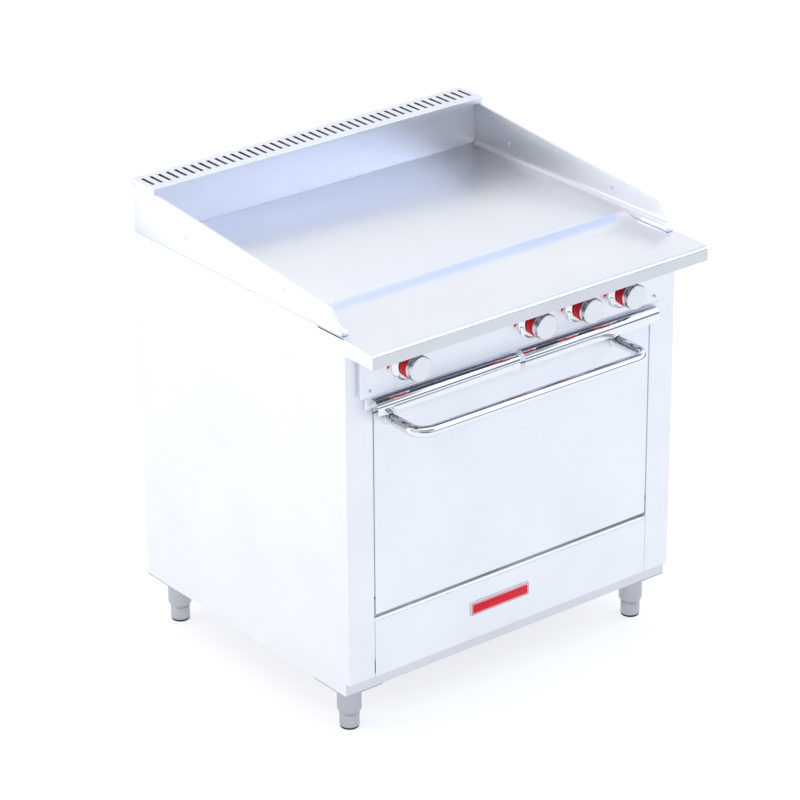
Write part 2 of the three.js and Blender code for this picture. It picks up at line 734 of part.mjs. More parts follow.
// Flat sheet with a face flange, used for the oven's top (flange up) and floor (flange down).
function ovenSheet(sheetZ, flangeZ) {
  const towards = Math.sign(flangeZ - sheetZ);
  const outline = [
    [OVEN_MOUTH_Y - SHEET, sheetZ],
    [OVEN_BACK_Y, sheetZ],
    [OVEN_BACK_Y, sheetZ + towards * SHEET],
    [OVEN_MOUTH_Y, sheetZ + towards * SHEET],
    [OVEN_MOUTH_Y, flangeZ],
    [OVEN_MOUTH_Y - SHEET, flangeZ],
  ];
  const ordered = towards > 0 ? outline : outline.reverse();
  return profileAlongX(ordered, -OVEN_FACE_HALF_WIDTH, OVEN_FACE_HALF_WIDTH);
}

function rackGuide(side) {
  const wallX = OVEN_HALF_WIDTH - GAP;
  const outline = [
    [-wallX, RACK_Z - 6],
    [-wallX + 18, RACK_Z - 6],
    [-wallX + 18, RACK_Z - 4.5],
    [-wallX + SHEET, RACK_Z - 4.5],
    [-wallX + SHEET, RACK_Z + 6],
    [-wallX, RACK_Z + 6],
  ];
  return profileAlongY(side < 0 ? outline : mirroredX(outline), OVEN_MOUTH_Y + 14, OVEN_BACK_Y - 6);
}

function ovenRack() {
  const [y0, y1] = [FRONT_Y + 82, FRONT_Y + 586];
  const sideX = 318;
  const frame = [
    rodAlongY(4, -sideX, y0, y1, RACK_Z, 8),
    rodAlongY(4, sideX, y0, y1, RACK_Z, 8),
    rodAlongX(4, -sideX - 2, sideX + 2, y0, RACK_Z, 8),
    rodAlongX(4, -sideX - 2, sideX + 2, y1, RACK_Z, 8),
  ];
  const wireCount = 13;
  const wires = Array.from({ length: wireCount }, (_, index) => {
    const x = -sideX + ((index + 1) * 2 * sideX) / (wireCount + 1);
    return rodAlongY(2.5, x, y0, y1, RACK_Z, 6);
  });
  return joined(...frame, ...wires);
}

function addOven() {
  place('oven_side_left', ovenSide(-1), 'enamel');
  place('oven_side_right', ovenSide(1), 'enamel');
  place('oven_top', ovenSheet(OVEN_TOP + GAP, DOOR_TOP - 4), 'enamel');
  place('oven_floor', ovenSheet(OVEN_BOTTOM - GAP, DOOR_BOTTOM + 4), 'enamel');
  place('oven_back', block(
    -OVEN_HALF_WIDTH - SHEET, OVEN_HALF_WIDTH + SHEET,
    OVEN_BACK_Y + GAP, OVEN_BACK_Y + GAP + SHEET, OVEN_BOTTOM, OVEN_TOP,
  ), 'enamel');
  place('rack_guide_left', rackGuide(-1), 'chrome');
  place('rack_guide_right', rackGuide(1), 'chrome');
  place('oven_rack', ovenRack(), 'chrome');
}

// ---------- gas supply and burners ----------

// Elbow off the end of the manifold, then a straight run out of the back.
function inletPipe() {
  const bend = 26;
  const stations = [
    [INLET_X - bend - 3.5, MANIFOLD_Y],
    ...arc(INLET_X - bend, MANIFOLD_Y + bend, bend, -90, 0, 5),
    [INLET_X, INLET_END_Y],
  ].map(([x, y]) => new THREE.Vector3(x, y, KNOB_Z));
  return pipeAlong(stations, PIPE_RADIUS, 0);
}

// Griddle burner about its own axis: a narrow throat at the front, then the burner tube.
function griddleBurner() {
  return turnedAboutY([[0, 86], [11, 86], [11, 112], [16, 132], [16, 650], [0, 650]], 20);
}

function addGas() {
  place('gas_manifold', rodAlongX(PIPE_RADIUS, -390, INLET_X - 30, MANIFOLD_Y, KNOB_Z), 'blackPipe');
  place('gas_inlet_pipe', inletPipe(), 'blackPipe');
  for (const [burnerName, x] of [['left', -290], ['middle', 0], ['right', 290]]) {
    place(`griddle_burner_${burnerName}`, griddleBurner(), 'castIron', [x, FRONT_Y, 915]);
  }
  place('oven_burner', rodAlongY(20, 0, FRONT_Y + 50, FRONT_Y + 560, 235, 20), 'castIron');
}

addBase();
addCabinet();
addTop();
addControls();
addDoor();
addOven();
addGas();

export default range;
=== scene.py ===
"""Commercial gas range with a full-width griddle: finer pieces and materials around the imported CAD."""

import math

import bmesh
import bpy
from mathutils import Matrix, Vector


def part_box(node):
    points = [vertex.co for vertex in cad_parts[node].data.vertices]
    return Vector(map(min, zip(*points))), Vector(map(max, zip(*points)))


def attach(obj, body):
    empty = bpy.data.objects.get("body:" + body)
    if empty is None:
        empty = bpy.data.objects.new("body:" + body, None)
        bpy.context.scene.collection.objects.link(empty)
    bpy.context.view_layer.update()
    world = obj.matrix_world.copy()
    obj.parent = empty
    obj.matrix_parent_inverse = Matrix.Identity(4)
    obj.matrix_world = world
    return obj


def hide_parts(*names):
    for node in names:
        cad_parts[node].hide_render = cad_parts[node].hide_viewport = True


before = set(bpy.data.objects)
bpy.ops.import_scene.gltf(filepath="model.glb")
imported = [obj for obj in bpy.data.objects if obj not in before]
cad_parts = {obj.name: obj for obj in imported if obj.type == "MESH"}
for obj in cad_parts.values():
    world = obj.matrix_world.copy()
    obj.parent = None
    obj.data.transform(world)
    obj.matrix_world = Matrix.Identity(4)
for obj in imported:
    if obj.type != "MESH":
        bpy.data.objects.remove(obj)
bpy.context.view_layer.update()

MM = 0.001
EVEN = (1, 1, 1)
# Where most of a noise texture's values lie.
NOISE_SPAN = (0.3, 0.7)
# Points closer than this, in metres, are one point.
WELD = 1e-6
# A radius below this is on the axis of a turned piece.
ON_AXIS = 1e-9
# An offset corner moves out by at most one over this.
MITRE_LIMIT = 0.2
# A face looks along a direction if the cosine between them is more than this.
FACING = 0.99
SCENE = bpy.context.scene

# ---------------------------------------------------------------- shader nodes


def colour_mix(tree, factor, first, second, blend="MIX"):
    """Mixed colour of two, each a tuple or a socket."""
    mix = tree.nodes.new("ShaderNodeMix")
    mix.data_type = "RGBA"
    mix.blend_type = blend
    tree.links.new(factor, mix.inputs["Factor"])
    for socket, value in ((mix.inputs["A"], first), (mix.inputs["B"], second)):
        if isinstance(value, tuple):
            socket.default_value = (*value, 1)
        else:
            tree.links.new(value, socket)
    return mix.outputs["Result"]


class Nodes:
    """A material's node tree, with short calls for the nodes used here."""

    def __init__(self, name):
        self.material = bpy.data.materials.new(name)
        self.material.use_nodes = True
        self.tree = self.material.node_tree
        self.tree.nodes.clear()
        self.output = self.tree.nodes.new("ShaderNodeOutputMaterial")
        self.shader = self.tree.nodes.new("ShaderNodeBsdfPrincipled")
        self.link(self.shader.outputs[0], self.output.inputs["Surface"])
        self.place = self.tree.nodes.new("ShaderNodeTexCoord").outputs["Object"]

    def link(self, source, target):
        self.tree.links.new(source, target)

    def set(self, **values):
        """Uniform values on the shader's own sockets, with _ for a space in a socket's name."""
        for key, value in values.items():
            self.shader.inputs[key.replace("_", " ")].default_value = value

    def scaled(self, scale):
        mapping = self.tree.nodes.new("ShaderNodeMapping")
        mapping.inputs["Scale"].default_value = scale
        self.link(self.place, mapping.inputs["Vector"])
        return mapping.outputs["Vector"]

    def noise(self, scale=EVEN, detail=3.0, size=1.0, roughness=0.55):
        node = self.tree.nodes.new("ShaderNodeTexNoise")
        self.link(self.scaled(scale), node.inputs["Vector"])
        node.inputs["Scale"].default_value = size
        node.inputs["Detail"].default_value = detail
        node.inputs["Roughness"].default_value = roughness
        return node.outputs["Fac"]

    def cells(self, size):
        """Voronoi cells: the node, for its Distance or its one colour for each cell."""
        node = self.tree.nodes.new("ShaderNodeTexVoronoi")
        self.link(self.place, node.inputs["Vector"])
        node.inputs["Scale"].default_value = size
        return node

    def ranged(self, value, low, high, to_low=0, to_high=1):
        node = self.tree.nodes.new("ShaderNodeMapRange")
        numbers = {"From Min": low, "From Max": high, "To Min": to_low, "To Max": to_high}
        for key, number in numbers.items():
            node.inputs[key].default_value = number
        self.link(value, node.inputs["Value"])
        return node.outputs["Result"]

    def math(self, operation, first, second):
        node = self.tree.nodes.new("ShaderNodeMath")
        node.operation = operation
        for socket, value in zip(node.inputs, (first, second)):
            if isinstance(value, (int, float)):
                socket.default_value = value
            else:
                self.link(value, socket)
        return node.outputs[0]

    def mixed(self, factor, first, second):
        return colour_mix(self.tree, factor, first, second)

    def weighted(self, first, share, second):
        """Sum of two values, where the first has the given share."""
        return self.math("ADD", self.math("MULTIPLY", first, share), self.math("MULTIPLY", second, 1 - share))

    def base_colour(self, value, low, high, first, second):
        """Base colour that goes from first to second as the value goes from low to high."""
        self.to("Base Color", self.mixed(self.ranged(value, low, high), first, second))

    def bump(self, height, distance):
        node = self.tree.nodes.new("ShaderNodeBump")
        node.inputs["Distance"].default_value = distance
        self.link(height, node.inputs["Height"])
        self.link(node.outputs["Normal"], self.shader.inputs["Normal"])

    def to(self, socket, value):
        self.link(value, self.shader.inputs[socket])


def toned(colour, factor):
    return tuple(min(1.0, c * factor) for c in colour)


def brushed(name, colour, roughness, grain, mottle=0.04, spread=0.08, depth=0.00004):
    """Ground or rolled steel: fine lines along one direction, soft clouding and a few duller patches."""
    nodes = Nodes(name)
    lines = nodes.noise(grain, detail=4.0)
    clouds = nodes.noise(detail=4.0, size=5.0)
    handled = nodes.noise(detail=6.0, size=23.0, roughness=0.7)
    tone = nodes.weighted(clouds, 0.6, lines)
    nodes.base_colour(tone, *NOISE_SPAN, toned(colour, 1 - mottle), toned(colour, 1 + mottle))
    half = spread / 2
    grained = nodes.ranged(lines, 0.25, 0.75, roughness - half, roughness + half)
    nodes.to("Roughness", nodes.math("ADD", grained, nodes.ranged(handled, 0.5, 0.75, 0, half)))
    nodes.set(Metallic=1.0)
    nodes.bump(lines, depth)
    return nodes.material


def chrome(name, colour, roughness):
    """Bright plating with faint polishing marks and a little haze."""
    nodes = Nodes(name)
    haze = nodes.noise(detail=5.0, size=16.0)
    marks = nodes.noise((60, 900, 900), detail=2.0)
    nodes.to("Base Color", nodes.mixed(haze, toned(colour, 0.96), colour))
    hazy = nodes.ranged(haze, *NOISE_SPAN, roughness * 0.7, roughness * 1.3)
    nodes.to("Roughness", nodes.math("ADD", hazy, nodes.ranged(marks, 0.5, 0.8, 0, 0.02)))
    nodes.set(Metallic=1.0)
    nodes.bump(haze, 0.00003)
    return nodes.material


def plastic(name, colour, roughness):
    """Moulded plastic: fine orange-peel, slightly worn to a lighter, duller tone."""
    nodes = Nodes(name)
    peel = nodes.noise(size=420.0)
    wear = nodes.noise(detail=5.0, size=60.0)
    worn = tuple(min(1.0, c * 1.12 + 0.004) for c in colour)
    nodes.base_colour(wear, 0.45, 0.75, colour, worn)
    nodes.to("Roughness", nodes.ranged(wear, 0.3, 0.8, roughness, roughness + 0.15))
    nodes.set(Specular_IOR_Level=0.25)
    nodes.bump(peel, 0.00003)
    return nodes.material


def rubber(name):
    """Black rubber with dust on it."""
    nodes = Nodes(name)
    dust = nodes.noise(detail=6.0, size=90.0)
    nodes.base_colour(dust, 0.4, 0.8, (0.012, 0.012, 0.013), (0.05, 0.05, 0.05))
    nodes.to("Roughness", nodes.ranged(dust, *NOISE_SPAN, 0.6, 0.85))
    nodes.bump(dust, 0.0002)
    return nodes.material


def enamel(name):
    """Dark vitreous enamel with fine pale specks."""
    nodes = Nodes(name)
    specks = nodes.cells(900.0).outputs["Distance"]
    drift = nodes.noise(detail=4.0, size=9.0)
    base = nodes.mixed(nodes.ranged(drift, *NOISE_SPAN), (0.030, 0.034, 0.042), (0.045, 0.050, 0.060))
    nodes.base_colour(specks, 0.16, 0.1, base, (0.42, 0.44, 0.47))
    nodes.to("Roughness", nodes.ranged(drift, *NOISE_SPAN, 0.18, 0.32))
    nodes.set(Coat_Weight=0.4, Coat_Roughness=0.1)
    nodes.bump(drift, 0.0004)
    return nodes.material


def galvanised(name):
    """Zinc-coated sheet with its crystal spangle."""
    nodes = Nodes(name)
    crystals = nodes.cells(85.0)
    spangle = nodes.tree.nodes.new("ShaderNodeRGBToBW")
    nodes.link(crystals.outputs["Color"], spangle.inputs[0])
    fine = nodes.noise(detail=5.0, size=160.0)
    tone = nodes.weighted(spangle.outputs[0], 0.6, fine)
    nodes.base_colour(tone, 0.25, 0.8, (0.57, 0.59, 0.61), (0.66, 0.68, 0.70))
    nodes.to("Roughness", nodes.ranged(tone, 0.2, 0.8, 0.36, 0.50))
    nodes.set(Metallic=0.85)
    nodes.bump(fine, 0.0001)
    return nodes.material


def cast(name, dark, light, roughness, metallic):
    """Rough iron, pipe or fibre surface."""
    nodes = Nodes(name)
    grain = nodes.noise(detail=8.0, size=240.0, roughness=0.7)
    stain = nodes.noise(detail=4.0, size=18.0)
    nodes.base_colour(nodes.weighted(grain, 0.5, stain), 0.35, 0.65, dark, light)
    nodes.to("Roughness", nodes.ranged(grain, *NOISE_SPAN, roughness - 0.1, roughness + 0.1))
    nodes.set(Metallic=metallic)
    nodes.bump(grain, 0.0006)
    return nodes.material


STEEL = (0.80, 0.815, 0.85)
# Noise scale along X, Y and Z: small along the grain, large across it.
GRAIN_LEVEL = (14, 14, 900)
GRAIN_ALONG_X = (14, 900, 900)
GRIDDLE_GRAIN = (1400, 12, 1400)
M = {
    "satin_side": brushed("satin_side", STEEL, 0.40, GRAIN_LEVEL),
    "satin_front": brushed("satin_front", STEEL, 0.38, GRAIN_LEVEL),
    # Darker copy of the steel for the shelf's front-facing faces: painted shade on the fascia.
    "fascia_painted_shade": brushed("fascia_painted_shade", toned(STEEL, 0.78), 0.30, GRAIN_ALONG_X, spread=0.05),
    # Dark matte sheet under the shelf's overhang: painted shade.
    "painted_shade_sheet": cast("painted_shade_sheet", (0.085, 0.088, 0.095), (0.14, 0.145, 0.155), 0.85, 0.0),
    "satin_base": brushed("satin_base", toned(STEEL, 0.84), 0.42, GRAIN_ALONG_X),
    "satin_top": brushed("satin_top", STEEL, 0.24, GRAIN_ALONG_X, spread=0.05),
    "griddle_steel": brushed(
        "griddle_steel", (0.79, 0.80, 0.83), 0.32, GRIDDLE_GRAIN, mottle=0.015, spread=0.05, depth=0.00001,
    ),
    "chrome": chrome("chrome", (0.80, 0.81, 0.83), 0.05),
    "turned": brushed("turned", (0.70, 0.71, 0.74), 0.22, (700, 700, 700), mottle=0.03),
    "leg_steel": brushed("leg_steel", (0.46, 0.47, 0.51), 0.34, (500, 500, 20)),
    "galvanised": galvanised("galvanised"),
    "enamel": enamel("enamel"),
    "red": plastic("red", (0.80, 0.006, 0.014), 0.28),
    "plate_red": plastic("plate_red", (0.72, 0.006, 0.022), 0.35),
    "plate_border": plastic("plate_border", (0.86, 0.84, 0.85), 0.3),
    "rubber": rubber("rubber"),
    "brass": brushed("brass", (0.70, 0.52, 0.24), 0.3, (400, 40, 400), mottle=0.08),
    "pipe": cast("pipe", (0.030, 0.030, 0.032), (0.085, 0.085, 0.09), 0.5, 0.6),
    "iron": cast("iron", (0.040, 0.038, 0.036), (0.10, 0.095, 0.09), 0.75, 0.5),
    "wool": cast("wool", (0.55, 0.50, 0.30), (0.80, 0.75, 0.52), 0.9, 0.0),
    "wire": chrome("wire", (0.62, 0.60, 0.58), 0.18),
}

# ---------------------------------------------------------------- mesh tools


def new_object(name, verts, faces):
    """Object with coincident points joined and its faces turned outwards."""
    mesh = bpy.data.meshes.new(name)
    mesh.from_pydata([tuple(v) for v in verts], [], faces)
    shape = bmesh.new()
    shape.from_mesh(mesh)
    bmesh.ops.remove_doubles(shape, verts=shape.verts, dist=WELD)
    bmesh.ops.recalc_face_normals(shape, faces=shape.faces)
    shape.to_mesh(mesh)
    shape.free()
    obj = bpy.data.objects.new(name, mesh)
    SCENE.collection.objects.link(obj)
    return obj


def discard(obj):
    mesh = obj.data
    bpy.data.objects.remove(obj)
    bpy.data.meshes.remove(mesh)


def modify(obj, kind, **settings):
    """A modifier, applied at once."""
    modifier = obj.modifiers.new(kind, kind)
    for key, value in settings.items():
        setattr(modifier, key, value)
    bpy.context.view_layer.update()
    evaluated = obj.evaluated_get(bpy.context.evaluated_depsgraph_get())
    mesh = bpy.data.meshes.new_from_object(evaluated)
    old = obj.data
    obj.modifiers.clear()
    obj.data = mesh
    bpy.data.meshes.remove(old)
    return obj


def bevel(obj, width, segments=3, angle=40):
    return modify(
        obj, "BEVEL", width=width, segments=segments, limit_method="ANGLE", angle_limit=math.radians(angle),
    )


def thicken(obj, thickness):
    return modify(obj, "SOLIDIFY", thickness=thickness, offset=-1.0, use_even_offset=True)


def combine(obj, tool, operation):
    """Boolean with a tool solid, which is used up."""
    modify(obj, "BOOLEAN", object=tool, operation=operation, solver="EXACT")
    discard(tool)


def finish_piece(obj, material, body, replaced=(), angle=32):
    """Material, smooth shading with sharp edges past an angle in degrees, and the piece's body; replaced CAD
    nodes are hidden.
    """
    obj.data.materials.clear()
    obj.data.materials.append(M[material])
    obj.data.shade_smooth()
    obj.data.set_sharp_from_angle(angle=math.radians(angle))
    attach(obj, body)
    if replaced:
        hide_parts(*replaced)
    return obj


def joined(name, parts):
    """One object of several, each keeping its own closed shape."""
    shape = bmesh.new()
    for part in parts:
        shape.from_mesh(part.data)
        discard(part)
    mesh = bpy.data.meshes.new(name)
    shape.to_mesh(mesh)
    shape.free()
    obj = bpy.data.objects.new(name, mesh)
    SCENE.collection.objects.link(obj)
    return obj


# Two coordinates across an axis and one along it, as a point.
AXES = {
    "x": lambda u, v, w: Vector((w, u, v)),
    "y": lambda u, v, w: Vector((u, w, v)),
    "z": lambda u, v, w: Vector((u, v, w)),
}


def prism(name, outline, axis, low, high):
    """Closed solid of a 2-D outline along an axis: (y, z) along x, (x, z) along y, (x, y) along z."""
    put = AXES[axis]
    count = len(outline)
    verts = [put(u, v, low) for u, v in outline] + [put(u, v, high) for u, v in outline]
    faces = [[i, (i + 1) % count, count + (i + 1) % count, count + i] for i in range(count)]
    faces += [list(range(count)), list(range(2 * count - 1, count - 1, -1))]
    return new_object(name, verts, faces)


def rectangle(u0, v0, u1, v1):
    return [(u0, v0), (u1, v0), (u1, v1), (u0, v1)]


def block(name, low, high):
    return prism(name, rectangle(low[0], low[1], high[0], high[1]), "z", low[2], high[2])


def lathe(name, profile, centre, axis="y", sides=72, shape=None):
    """Turned solid: profile is (radius, distance along the axis) from the axis back to it, or a closed ring.

    shape(turn, radius, along) may change the radius round the axis.
    """
    ring = profile[0][0] > ON_AXIS
    verts, rows = [], []
    for radius, along in profile:
        if radius <= ON_AXIS:
            rows.append([len(verts)])
            angles = [0.0]
        else:
            rows.append(list(range(len(verts), len(verts) + sides)))
            angles = [2 * math.pi * k / sides for k in range(sides)]
        for turn in angles:
            r = shape(turn, radius, along) if shape and radius > ON_AXIS else radius
            u, v = r * math.cos(turn), r * math.sin(turn)
            offset = {"x": (along, u, v), "y": (u, along, v), "z": (u, v, along)}[axis]
            verts.append(Vector(centre) + Vector(offset))
    faces = []
    pairs = list(zip(rows, rows[1:] + rows[:1])) if ring else list(zip(rows, rows[1:]))
    for first, second in pairs:
        for k in range(sides):
            n = (k + 1) % sides
            near = [first[k % len(first)], first[n % len(first)]]
            far = [second[n % len(second)], second[k % len(second)]]
            unique = list(dict.fromkeys(near + far))
            if len(unique) > 2:
                faces.append(unique)
    return new_object(name, verts, faces)


def rounded(points, radius, steps=6, closed=False):
    """Polyline with its corners replaced by arcs. radius is one number, or one for each corner."""
    points = [Vector(p) for p in points]
    count = len(points)
    radii = [radius] * count if isinstance(radius, (int, float)) else list(radius)
    result = []
    for i, point in enumerate(points):
        if not closed and i in (0, count - 1) or radii[i] <= 0:
            result.append(point)
            continue
        to_last = (points[i - 1] - point).normalized()
        to_next = (points[(i + 1) % count] - point).normalized()
        half = to_last.angle(to_next) / 2
        centre = point + (to_last + to_next).normalized() * (radii[i] / math.sin(half))
        start = point + to_last * (radii[i] / math.tan(half)) - centre
        end = point + to_next * (radii[i] / math.tan(half)) - centre
        whole = start.angle(end)
        for k in range(steps + 1):
            t = k / steps
            blend = (start * math.sin((1 - t) * whole) + end * math.sin(t * whole)) / math.sin(whole)
            result.append(centre + blend)
    return result


def offset_path(points, distance):
    """2-D path moved sideways, to the left of its direction."""
    points = [Vector(p) for p in points]
    moved = []
    for i, point in enumerate(points):
        before = (point - points[i - 1]).normalized() if i else None
        after = (points[i + 1] - point).normalized() if i < len(points) - 1 else None
        before = before or after
        after = after or before
        bisector = Vector((-(before.y + after.y), before.x + after.x)).normalized()
        normal = Vector((-before.y, before.x))
        moved.append(point + bisector * (distance / max(MITRE_LIMIT, bisector.dot(normal))))
    return moved


def sheet(name, path, thickness, axis, low, high):
    """Bent sheet of constant thickness, to the left of a 2-D path, along an axis."""
    return prism(name, [*path, *reversed(offset_path(path, thickness))], axis, low, high)


def folded(name, path, axis, levels, keep, thickness):
    """Bent sheet with holes: cells between path points and levels, where keep(point, level) is true."""
    put = AXES[axis]
    verts = [put(u, v, w) for w in levels for u, v in path]
    count, faces = len(path), []
    for j in range(len(levels) - 1):
        for i in range(count - 1):
            middle = (Vector(path[i]) + Vector(path[i + 1])) / 2
            if keep(middle, (levels[j] + levels[j + 1]) / 2):
                a = j * count + i
                faces.append([a, a + 1, a + 1 + count, a + count])
    obj = new_object(name, verts, faces)
    shape = bmesh.new()
    shape.from_mesh(obj.data)
    loose = [v for v in shape.verts if not v.link_faces]
    bmesh.ops.delete(shape, geom=loose, context="VERTS")
    shape.to_mesh(obj.data)
    shape.free()
    return thicken(obj, thickness)


def pan(name, outline, axis, low, high, radius, thickness, open_normal):
    """Box-like sheet part with rounded edges, open on the side that faces open_normal."""
    obj = prism(name, outline, axis, low, high)
    shape = bmesh.new()
    shape.from_mesh(obj.data)
    shape.normal_update()
    open_faces = [f for f in shape.faces if f.normal.dot(Vector(open_normal)) > FACING]
    bmesh.ops.delete(shape, geom=open_faces, context="FACES")
    shape.to_mesh(obj.data)
    shape.free()
    bevel(obj, radius, segments=4, angle=20)
    return thicken(obj, thickness)


def tube(name, points, radius, sides=40, closed=False):
    """Round bar along a 3-D polyline, with its section carried along without twist."""
    points = [Vector(p) for p in points]
    count = len(points)
    tangents = []
    for i in range(count):
        before = points[i] - points[i - 1] if i or closed else points[1] - points[0]
        after = points[(i + 1) % count] - points[i] if i < count - 1 or closed else before
        tangents.append((before.normalized() + after.normalized()).normalized())
    side = tangents[0].orthogonal().normalized()
    verts = []
    for point, tangent in zip(points, tangents):
        side = (side - tangent * side.dot(tangent)).normalized()
        other = tangent.cross(side)
        for k in range(sides):
            turn = 2 * math.pi * k / sides
            verts.append(point + (side * math.cos(turn) + other * math.sin(turn)) * radius)
    faces = []
    for i in range(count if closed else count - 1):
        a, b = i * sides, ((i + 1) % count) * sides
        for k in range(sides):
            n = (k + 1) % sides
            faces.append([a + k, a + n, b + n, b + k])
    if not closed:
        faces += [list(range(sides)), list(range((count - 1) * sides, count * sides))]
    return new_object(name, verts, faces)


# ---------------------------------------------------------------- CAD places

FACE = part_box("door_panel")[0].y
CABINET = "cabinet"
DOOR = "door"
SIDES = (("left", -1), ("right", 1))
# Thickness of the bent outer sheets.
SKIN = 1.5 * MM


def mm(points):
    """Pairs in millimetres, as metres."""
    return [(a * MM, b * MM) for a, b in points]


def paint(material, *nodes):
    """A better material on CAD nodes whose shape is right."""
    for node in nodes:
        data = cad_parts[node].data
        data.materials.clear()
        data.materials.append(M[material])


# ---------------------------------------------------------------- cabinet


def cabinet_wraps():
    """Each side is one sheet, folded round the front corner and back inside the door opening."""
    bend = 2.5 * MM
    for name, side in SIDES:
        panel_low, panel_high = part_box(f"side_panel_{name}")
        stile_low, stile_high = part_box(f"stile_{name}")
        outer = max(abs(panel_low.x), abs(panel_high.x))
        inner = min(abs(stile_low.x), abs(stile_high.x))
        front_end = panel_low.y + 13 * MM
        shelf_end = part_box("landing_shelf")[1].y - 54 * MM
        path = rounded([
            (side * inner, stile_high.y), (side * inner, stile_low.y),
            (side * outer, stile_low.y), (side * outer, panel_high.y),
        ], bend, steps=5)
        path = path[:-1] + [Vector((side * outer, y)) for y in (front_end, shelf_end, panel_high.y)]
        floor_z, face_z = panel_low.z, stile_low.z
        under_shelf, top = panel_high.z - 5 * MM, panel_high.z

        def keep(point, level):
            if level < face_z:
                return point.y > front_end and abs(point.x) > outer - 1 * MM
            return level < under_shelf or point.y > shelf_end

        wrap = folded(f"side_wrap_{name}", path, "z", [floor_z, face_z, under_shelf, top], keep, SKIN)
        finish_piece(wrap, "satin_side", CABINET, (f"side_panel_{name}", f"stile_{name}"))


def kick():
    """Kick panel, bent back over its top edge."""
    low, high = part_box("kick_panel")
    bend, clearance = 9 * MM, 0.9 * MM
    path = rounded([(low.y, low.z), (low.y, high.z), (high.y, high.z)], bend, steps=12)
    obj = sheet("kick_sheet", path[::-1], SKIN, "x", low.x + clearance, high.x - clearance)
    finish_piece(obj, "satin_front", CABINET, ("kick_panel",))


def door_seals():
    """Pale heat seals set back in the gaps beside the door, above its hinges."""
    low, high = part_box("door_panel")
    edge = max(abs(low.x), abs(high.x))
    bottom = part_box("hinge_bracket_left")[1].z + 5 * MM
    outline = rectangle(low.y + 3 * MM, bottom, low.y + 30 * MM, high.z)
    for name, side in SIDES:
        inner = min(abs(c.x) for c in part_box(f"stile_{name}"))
        ends = sorted((side * (edge + 0.5 * MM), side * (inner - 0.2 * MM)))
        strip = prism(f"door_side_seal_{name}", outline, "x", *ends)
        bevel(strip, 0.5 * MM, 2)
        finish_piece(strip, "satin_front", CABINET)


def badge():
    """Blank plate: pale frame, then a red band, a pale ridge and a red field inside it."""
    low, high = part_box("nameplate")
    outline = rounded(rectangle(low.x, low.z, high.x, high.z), 4 * MM, closed=True)
    back = prism("badge_frame", outline, "y", low.y + 0.6 * MM, high.y)
    bevel(back, 0.5 * MM, 2)
    finish_piece(back, "plate_border", CABINET, ("nameplate",))
    for name, inset, front, material in (
        ("badge_band", 3.0, 0.45, "plate_red"),
        ("badge_ridge", 4.8, 0.25, "plate_border"),
        ("badge_field", 6.2, 0.0, "plate_red"),
    ):
        edge = inset * MM
        inner = rectangle(low.x + edge, low.z + edge, high.x - edge, high.z - edge)
        outline = rounded(inner, 2.4 * MM, closed=True)
        field = prism(name, outline, "y", low.y + front * MM, low.y + 1.4 * MM)
        bevel(field, 0.12 * MM, 2)
        finish_piece(field, material, CABINET)


def leg(name, centre):
    """Tube with a rolled lower lip, welded to its corner plate."""
    low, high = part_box(f"leg_{name}")
    bore, r = 14 * MM, 27 * MM
    plate_low = high.z - 3 * MM
    tube_part = lathe("tube", [
        (bore, plate_low - 4 * MM), (bore, low.z + 1 * MM), (20 * MM, low.z), (23 * MM, low.z + 0.4 * MM),
        (25.2 * MM, low.z + 2.4 * MM), (26.4 * MM, low.z + 5.2 * MM), (r, low.z + 7 * MM),
        (r, plate_low - 2.4 * MM), (r + 0.8 * MM, plate_low - 1.2 * MM), (r + 2.6 * MM, plate_low),
        (bore, plate_low),
    ], centre, "z")
    plate = block("plate", (low.x, low.y, plate_low), (high.x, high.y, high.z))
    bevel(plate, 0.6 * MM, 2)
    obj = joined(f"leg_turned_{name}", [tube_part, plate])
    finish_piece(obj, "leg_steel", CABINET, (f"leg_{name}",))


# Radius and height of the foot's body up to its screw, and of its sole, in mm.
SCREW_RADIUS = 12.4
FOOT_PROFILE = [
    (0, 5), (20.6, 5), (21.4, 5.6), (22.1, 7), (22.1, 33), (21.4, 35.6), (20.4, 36.4), (20.4, 39.4),
    (SCREW_RADIUS, 39.4),
]
SOLE_PROFILE = [(0, 0), (18.6, 0), (20.4, 0.7), (21.2, 2.2), (21.2, 4.6), (20.6, 4.9), (0, 4.9)]


def legs():
    """Four legs, each with an adjustable foot on a rubber sole."""
    for name in ("front_left", "front_right", "back_left", "back_right"):
        low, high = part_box(f"foot_{name}")
        centre = ((low.x + high.x) / 2, (low.y + high.y) / 2, 0)
        leg(name, centre)
        profile = [*mm(FOOT_PROFILE), (SCREW_RADIUS * MM, high.z), (0, high.z)]
        shank = lathe(f"foot_turned_{name}", profile, centre, "z")
        finish_piece(shank, "leg_steel", f"foot_{name}", (f"foot_{name}",))
        sole = lathe(f"foot_sole_{name}", mm(SOLE_PROFILE), centre, "z")
        finish_piece(sole, "rubber", f"foot_{name}")


# ---------------------------------------------------------------- top


def cove_arc(start, end, steps):
    """Arc that leaves its start level and rises to its end."""
    run, rise = end[0] - start[0], end[1] - start[1]
    radius = (run * run + rise * rise) / (2 * rise)
    whole = math.asin(run / radius)
    turns = [whole * k / steps for k in range(steps + 1)]
    return [(start[0] + radius * math.sin(t), start[1] + radius * (1 - math.cos(t))) for t in turns]


